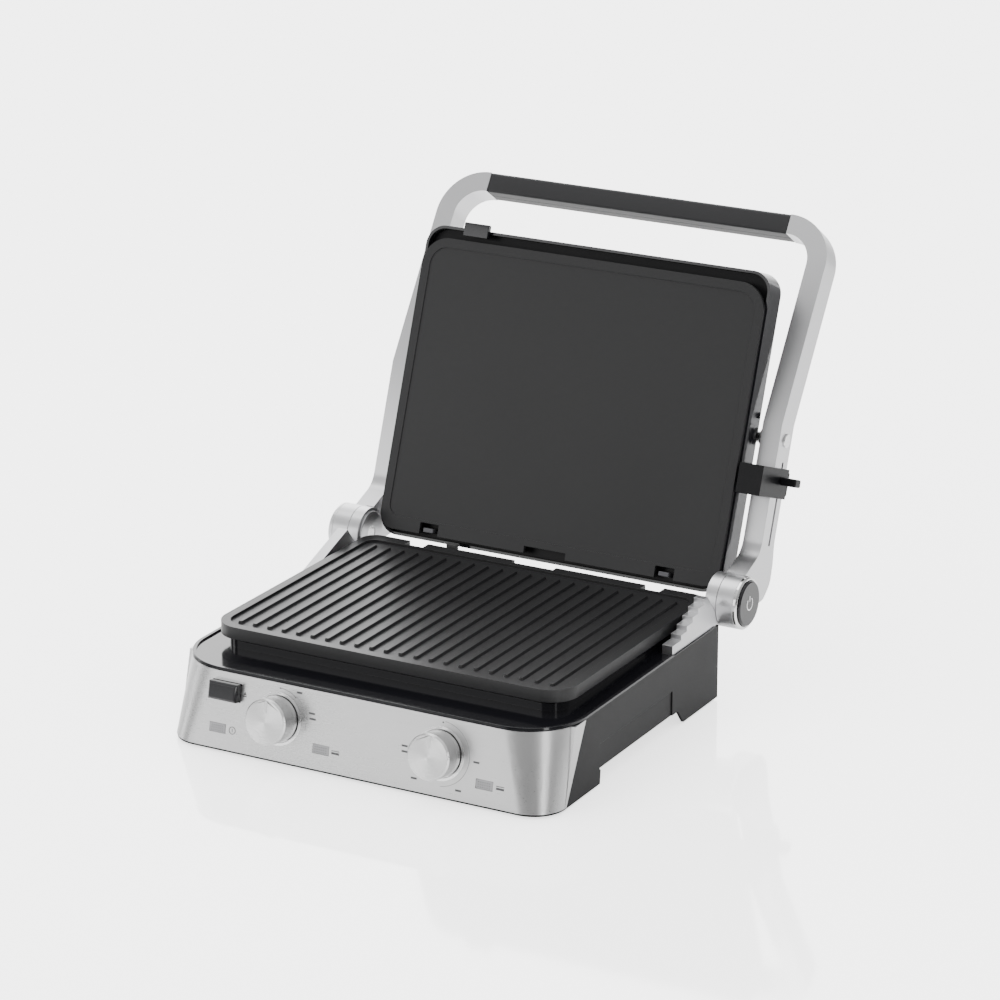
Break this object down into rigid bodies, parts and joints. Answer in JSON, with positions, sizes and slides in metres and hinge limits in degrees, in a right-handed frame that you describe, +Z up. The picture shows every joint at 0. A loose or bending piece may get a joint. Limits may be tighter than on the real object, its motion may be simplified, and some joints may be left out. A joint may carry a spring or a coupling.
{
  "type": "panini press",
  "caption": "Contact grill with a ribbed lower plate, a floating upper plate in an aluminium handle frame, side hinges and front dials.",
  "frame": {"origin": "on the table, under the middle of the grill with its lid open", "axes": "+X to the user's right, -Y towards the user, +Z up"},
  "size_m": [0.4037, 0.5323, 0.3692],
  "materials": {
    "black_shell": "satin black moulded shell",
    "black_gloss": "high gloss black",
    "brushed_steel": "fine horizontal brushing",
    "cast_aluminium": "satin cast aluminium",
    "bright_metal": "polished",
    "plate_coating": "dark non-stick coating",
    "grip_black": "matt heat-proof grip",
    "dial_metal": "turned face",
    "rubber": "matt",
    "lamp_lens": "frosted lens",
    "inner_metal": "plain sheet",
    "inner_plastic": "heat-proof moulding",
    "dark_metal": "dark plated"
  },
  "bodies": {
    "base": {"base_shell": "black_shell", "bottom_cover": "black_shell", "rubber_feet": "rubber", "deck_tray": "black_gloss", "front_panel": "brushed_steel", "dial_rings": "bright_metal", "lamp_lenses": "lamp_lens", "lamp_lights": "inner_plastic", "left_thermostat": "inner_plastic", "right_thermostat": "inner_plastic", "stair_bracket": "cast_aluminium", "hinge_bracket": "cast_aluminium", "hinge_pins": "bright_metal", "hub_covers": "cast_aluminium", "lower_reflector": "inner_metal", "lower_element": "dark_metal", "thermal_fuse": "inner_plastic", "terminal_block": "inner_plastic", "cord_gland": "rubber", "lead_boot": "rubber", "lower_hooks": "dark_metal", "bottom_screws": "bright_metal"},
    "left_dial": {"left_dial": "dial_metal", "left_dial_shaft": "inner_metal", "left_dial_pointer": "bright_metal"},
    "right_dial": {"right_dial": "dial_metal", "right_dial_shaft": "inner_metal", "right_dial_pointer": "bright_metal"},
    "plate_button": {"plate_button": "black_gloss"},
    "plate_latch": {"plate_latch": "dark_metal"},
    "lower_plate": {"lower_plate": "plate_coating"},
    "drip_tray": {"drip_tray": "black_shell"},
    "handle_frame": {"right_arm": "cast_aluminium", "left_arm": "cast_aluminium", "grip_core": "inner_metal", "grip_front": "grip_black", "grip_rear": "grip_black", "right_cap_ring": "bright_metal", "left_cap": "cast_aluminium", "tilt_pins": "bright_metal", "pivot_screws": "bright_metal", "stop_pins": "bright_metal"},
    "hinge_button": {"hinge_button": "black_gloss"},
    "height_slider": {"height_slider": "black_shell", "slider_lever": "black_shell", "slider_clip": "black_shell"},
    "upper_housing": {"lid_shell": "black_gloss", "lid_cover": "brushed_steel", "lid_bezel": "black_shell", "lid_reflector": "inner_metal", "lid_element": "dark_metal", "lid_thermal_fuse": "inner_plastic", "lid_hooks": "dark_metal", "lid_screws": "bright_metal"},
    "lid_release": {"lid_release": "black_gloss"},
    "upper_plate": {"upper_plate": "plate_coating"}
  },
  "joints": [
    {"name": "lid_hinge", "type": "hinge", "parent": "base", "child": "handle_frame", "pos_m": [0, 0.064, 0.0838], "axis": [-1, 0, 0], "range_deg": [-110, 66.5]},
    {"name": "lid_tilt", "type": "hinge", "parent": "handle_frame", "child": "upper_housing", "pos_m": [0, 0.1499, 0.19992], "axis": [-1, 0, 0], "range_deg": [0, 4]},
    {"name": "height_slide", "type": "slide", "parent": "handle_frame", "child": "height_slider", "axis": [0, -0.342, -0.9397], "range_m": [-0.008, 0.036]},
    {"name": "hinge_release", "type": "slide", "parent": "handle_frame", "child": "hinge_button", "axis": [-1, 0, 0], "range_m": [0, 0.003], "stiffness_N_per_m": 400, "springref_m": -0.001},
    {"name": "lid_release_slide", "type": "slide", "parent": "upper_housing", "child": "lid_release", "axis": [0, -0.342, -0.9397], "range_m": [0, 0.003], "stiffness_N_per_m": 400, "springref_m": -0.001},
    {"name": "upper_plate_lift", "type": "slide", "parent": "upper_housing", "child": "upper_plate", "axis": [0, -0.9397, 0.342], "range_m": [0, 0.03]},
    {"name": "lower_plate_lift", "type": "slide", "parent": "base", "child": "lower_plate", "axis": [0, 0, 1], "range_m": [0, 0.05]},
    {"name": "plate_button_press", "type": "slide", "parent": "base", "child": "plate_button", "axis": [0, 0.9816, -0.1908], "range_m": [0, 0.0035], "stiffness_N_per_m": 400, "springref_m": -0.001},
    {"name": "plate_latch_slide", "type": "slide", "parent": "base", "child": "plate_latch", "axis": [0, 1, 0], "range_m": [0, 0.0035]},
    {"name": "left_dial_turn", "type": "hinge", "parent": "base", "child": "left_dial", "pos_m": [-0.072, -0.2444, 0.03784], "axis": [0, 0.9816, -0.1908], "range_deg": [0, 90]},
    {"name": "right_dial_turn", "type": "hinge", "parent": "base", "child": "right_dial", "pos_m": [0.078, -0.2444, 0.03784], "axis": [0, 0.9816, -0.1908], "range_deg": [0, 270]},
    {"name": "drip_tray_slide", "type": "slide", "parent": "base", "child": "drip_tray", "axis": [0, 1, 0], "range_m": [0, 0.09]}
  ],
  "couplings": [
    {"joint": "plate_latch_slide", "follows": "plate_button_press", "ratio": 1}
  ]
}
